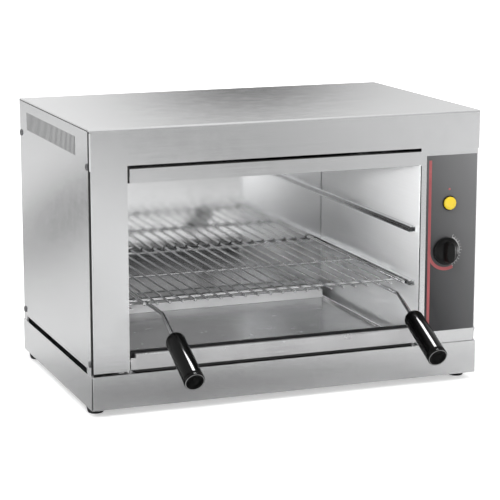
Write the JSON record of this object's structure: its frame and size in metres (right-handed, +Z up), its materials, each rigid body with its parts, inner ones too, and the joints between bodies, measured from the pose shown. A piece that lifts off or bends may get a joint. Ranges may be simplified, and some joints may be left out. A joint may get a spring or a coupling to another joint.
{
  "type": "cheese melter",
  "caption": "Single-level electric cheese melter: stainless body open at the front, wire rack with two slanted grips, crumb tray, timer knob and pilot lamp.",
  "frame": {"origin": "centre of the whole outline's footprint, on the surface the rubber feet stand on", "axes": "+X towards the control side, +Y from the open front towards the back, +Z up"},
  "size_m": [0.4492, 0.4132, 0.305],
  "materials": {
    "brushed_sheet": "satin",
    "bright_sheet": "bright",
    "tray_sheet": "bright",
    "dark_sheet": "matt",
    "plated_wire": "bright",
    "fasteners": "satin",
    "black_plastic": "gloss",
    "grip_plastic": "gloss",
    "overlay": "satin",
    "red_print": "satin",
    "amber_lens": "gloss",
    "rubber": "matt",
    "element_sheath": "matt",
    "ceramic": "matt"
  },
  "bodies": {
    "body": {"base_pan": "brushed_sheet", "front_left_foot": "rubber", "front_right_foot": "rubber", "back_left_foot": "rubber", "back_right_foot": "rubber", "foot_screws": "fasteners", "top_cover": "brushed_sheet", "left_side_panel": "brushed_sheet", "right_side_panel": "brushed_sheet", "back_panel": "brushed_sheet", "front_left_post": "bright_sheet", "front_right_post": "bright_sheet", "back_left_post": "bright_sheet", "back_right_post": "bright_sheet", "side_screws": "fasteners", "back_screws": "fasteners", "front_frame": "brushed_sheet", "control_overlay": "overlay", "red_band": "red_print", "front_sill": "dark_sheet", "cavity_floor": "bright_sheet", "cavity_left_wall": "bright_sheet", "cavity_right_wall": "bright_sheet", "cavity_back_wall": "bright_sheet", "cavity_ceiling": "bright_sheet", "left_lower_rail": "bright_sheet", "left_upper_rail": "bright_sheet", "right_lower_rail": "bright_sheet", "right_upper_rail": "bright_sheet", "front_element": "element_sheath", "back_element": "element_sheath", "front_element_bracket": "bright_sheet", "back_element_bracket": "bright_sheet", "element_bushes": "ceramic", "element_terminals": "fasteners", "timer_body": "ceramic", "timer_nut": "fasteners", "pilot_lamp_body": "black_plastic", "pilot_lamp_lens": "amber_lens", "terminal_block": "ceramic", "cable_gland": "black_plastic", "gland_nut": "black_plastic"},
    "rack": {"left_side_rod": "plated_wire", "right_side_rod": "plated_wire", "front_cross_rod": "plated_wire", "middle_cross_rod": "plated_wire", "back_cross_rod": "plated_wire", "rack_wires": "plated_wire", "left_handle_rod": "plated_wire", "right_handle_rod": "plated_wire", "left_grip": "grip_plastic", "right_grip": "grip_plastic"},
    "tray": {"crumb_tray": "tray_sheet"},
    "knob": {"timer_knob": "black_plastic", "timer_shaft": "fasteners"}
  },
  "joints": [
    {"name": "rack_slide", "type": "slide", "parent": "body", "child": "rack", "axis": [0, -1, 0], "range_m": [0, 0.26]},
    {"name": "tray_slide", "type": "slide", "parent": "body", "child": "tray", "axis": [0, -1, 0], "range_m": [0, 0.08]},
    {"name": "knob_turn", "type": "hinge", "parent": "body", "child": "knob", "pos_m": [0.184, -0.08837, 0.15], "axis": [0, 1, 0], "range_deg": [0, 300]}
  ]
}
